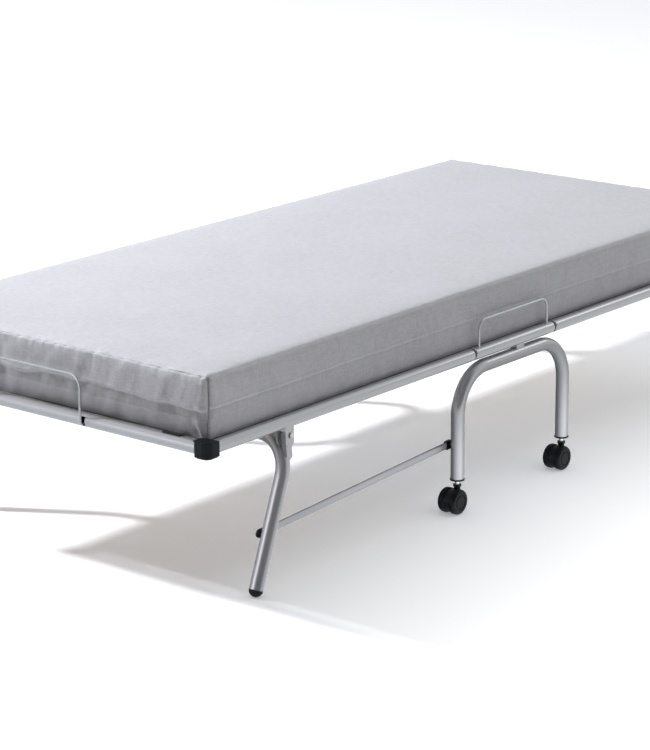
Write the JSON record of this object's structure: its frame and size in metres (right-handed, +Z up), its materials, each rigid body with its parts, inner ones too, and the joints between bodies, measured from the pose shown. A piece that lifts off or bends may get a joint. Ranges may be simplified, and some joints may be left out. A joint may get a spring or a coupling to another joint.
{
  "type": "rollaway bed",
  "caption": "Folding rollaway guest bed: tube frame with mattress, wheeled centre hoops, self-folding end legs and wire mattress retainers.",
  "frame": {"origin": "on the floor under the middle of the opened bed", "axes": "+X along the bed to the head end, +Y across to the far side, +Z up"},
  "size_m": [2.0792, 0.9678, 0.487],
  "materials": {
    "mattress_fabric": "matte",
    "silver_paint": "satin",
    "wire_paint": "satin",
    "zinc_steel": "satin",
    "black_plastic": "satin",
    "caster_plastic": "satin",
    "black_rubber": "matte",
    "beech": "satin"
  },
  "bodies": {
    "centre_frame": {"caster_hoop_far": "silver_paint", "caster_hoop_near": "silver_paint", "caster_sockets": "black_plastic", "centre_cross_tubes": "silver_paint", "centre_rail_far": "silver_paint", "centre_rail_near": "silver_paint", "fold_studs": "zinc_steel", "hoop_link_studs": "zinc_steel", "mattress_middle": "mattress_fabric", "side_retainer_far": "wire_paint", "side_retainer_near": "wire_paint"},
    "caster_far_foot_swivel": {"caster_far_foot_housing": "caster_plastic", "caster_far_foot_pins": "zinc_steel"},
    "caster_far_foot_wheel_pair": {"caster_far_foot_wheels": "caster_plastic"},
    "caster_far_head_swivel": {"caster_far_head_housing": "caster_plastic", "caster_far_head_pins": "zinc_steel"},
    "caster_far_head_wheel_pair": {"caster_far_head_wheels": "caster_plastic"},
    "caster_near_foot_swivel": {"caster_near_foot_housing": "caster_plastic", "caster_near_foot_pins": "zinc_steel"},
    "caster_near_foot_wheel_pair": {"caster_near_foot_wheels": "caster_plastic"},
    "caster_near_head_swivel": {"caster_near_head_housing": "caster_plastic", "caster_near_head_pins": "zinc_steel"},
    "caster_near_head_wheel_pair": {"caster_near_head_wheels": "caster_plastic"},
    "foot_half": {"foot_corner_caps": "black_plastic", "foot_cross_tube": "silver_paint", "foot_end_rail": "silver_paint", "foot_end_retainer": "wire_paint", "foot_hinge_leaves": "silver_paint", "foot_leg_brackets": "silver_paint", "foot_mattress": "mattress_fabric", "foot_rail_pads": "black_rubber", "foot_rivets": "zinc_steel", "foot_side_rail_far": "silver_paint", "foot_side_rail_near": "silver_paint", "foot_slat_caps": "black_plastic", "foot_slats": "beech"},
    "foot_leg": {"foot_leg_frame": "silver_paint", "foot_leg_link_stud": "zinc_steel", "foot_leg_tips": "black_rubber"},
    "foot_link": {"foot_link_bar": "silver_paint", "foot_link_ends": "black_plastic"},
    "head_half": {"head_corner_caps": "black_plastic", "head_cross_tube": "silver_paint", "head_end_rail": "silver_paint", "head_end_retainer": "wire_paint", "head_hinge_leaves": "silver_paint", "head_leg_brackets": "silver_paint", "head_mattress": "mattress_fabric", "head_rail_pads": "black_rubber", "head_rivets": "zinc_steel", "head_side_rail_far": "silver_paint", "head_side_rail_near": "silver_paint", "head_slat_caps": "black_plastic", "head_slats": "beech"},
    "head_leg": {"head_leg_frame": "silver_paint", "head_leg_link_stud": "zinc_steel", "head_leg_tips": "black_rubber"},
    "head_link": {"head_link_bar": "silver_paint", "head_link_ends": "black_plastic"}
  },
  "joints": [
    {"name": "foot_fold", "type": "hinge", "parent": "centre_frame", "child": "foot_half", "pos_m": [-0.1425, 0, 0.349], "axis": [0, 1, 0], "range_deg": [0, 90], "deforming": ["mattress_middle"]},
    {"name": "foot_leg_fold", "type": "hinge", "parent": "foot_half", "child": "foot_leg", "pos_m": [-0.7815, 0, 0.317], "axis": [0, 1, 0], "range_deg": [-90, 0]},
    {"name": "foot_link_swing", "type": "hinge", "parent": "centre_frame", "child": "foot_link", "pos_m": [-0.201, 0, 0.15], "axis": [0, 1, 0], "range_deg": [0, 90]},
    {"name": "head_fold", "type": "hinge", "parent": "centre_frame", "child": "head_half", "pos_m": [0.1425, 0, 0.349], "axis": [0, -1, 0], "range_deg": [0, 90], "deforming": ["mattress_middle"]},
    {"name": "head_leg_fold", "type": "hinge", "parent": "head_half", "child": "head_leg", "pos_m": [0.7815, 0, 0.317], "axis": [0, -1, 0], "range_deg": [-90, 0]},
    {"name": "head_link_swing", "type": "hinge", "parent": "centre_frame", "child": "head_link", "pos_m": [0.201, 0, 0.15], "axis": [0, -1, 0], "range_deg": [0, 90]},
    {"name": "caster_near_foot_swivel_turn", "type": "hinge", "parent": "centre_frame", "child": "caster_near_foot_swivel", "pos_m": [-0.201, -0.461, 0.07], "axis": [0, 0, 1], "continuous": true},
    {"name": "caster_near_foot_wheel_spin", "type": "hinge", "parent": "caster_near_foot_swivel", "child": "caster_near_foot_wheel_pair", "pos_m": [-0.218, -0.461, 0.028], "axis": [0, 1, 0], "continuous": true},
    {"name": "caster_near_head_swivel_turn", "type": "hinge", "parent": "centre_frame", "child": "caster_near_head_swivel", "pos_m": [0.201, -0.461, 0.07], "axis": [0, 0, 1], "continuous": true},
    {"name": "caster_near_head_wheel_spin", "type": "hinge", "parent": "caster_near_head_swivel", "child": "caster_near_head_wheel_pair", "pos_m": [0.184, -0.461, 0.028], "axis": [0, 1, 0], "continuous": true},
    {"name": "caster_far_foot_swivel_turn", "type": "hinge", "parent": "centre_frame", "child": "caster_far_foot_swivel", "pos_m": [-0.201, 0.461, 0.07], "axis": [0, 0, 1], "continuous": true},
    {"name": "caster_far_foot_wheel_spin", "type": "hinge", "parent": "caster_far_foot_swivel", "child": "caster_far_foot_wheel_pair", "pos_m": [-0.218, 0.461, 0.028], "axis": [0, 1, 0], "continuous": true},
    {"name": "caster_far_head_swivel_turn", "type": "hinge", "parent": "centre_frame", "child": "caster_far_head_swivel", "pos_m": [0.201, 0.461, 0.07], "axis": [0, 0, 1], "continuous": true},
    {"name": "caster_far_head_wheel_spin", "type": "hinge", "parent": "caster_far_head_swivel", "child": "caster_far_head_wheel_pair", "pos_m": [0.184, 0.461, 0.028], "axis": [0, 1, 0], "continuous": true}
  ],
  "couplings": [
    {"joint": "foot_leg_fold", "follows": "foot_fold", "ratio": -1},
    {"joint": "foot_link_swing", "follows": "foot_fold", "ratio": 1},
    {"joint": "head_leg_fold", "follows": "head_fold", "ratio": -1},
    {"joint": "head_link_swing", "follows": "head_fold", "ratio": 1}
  ]
}
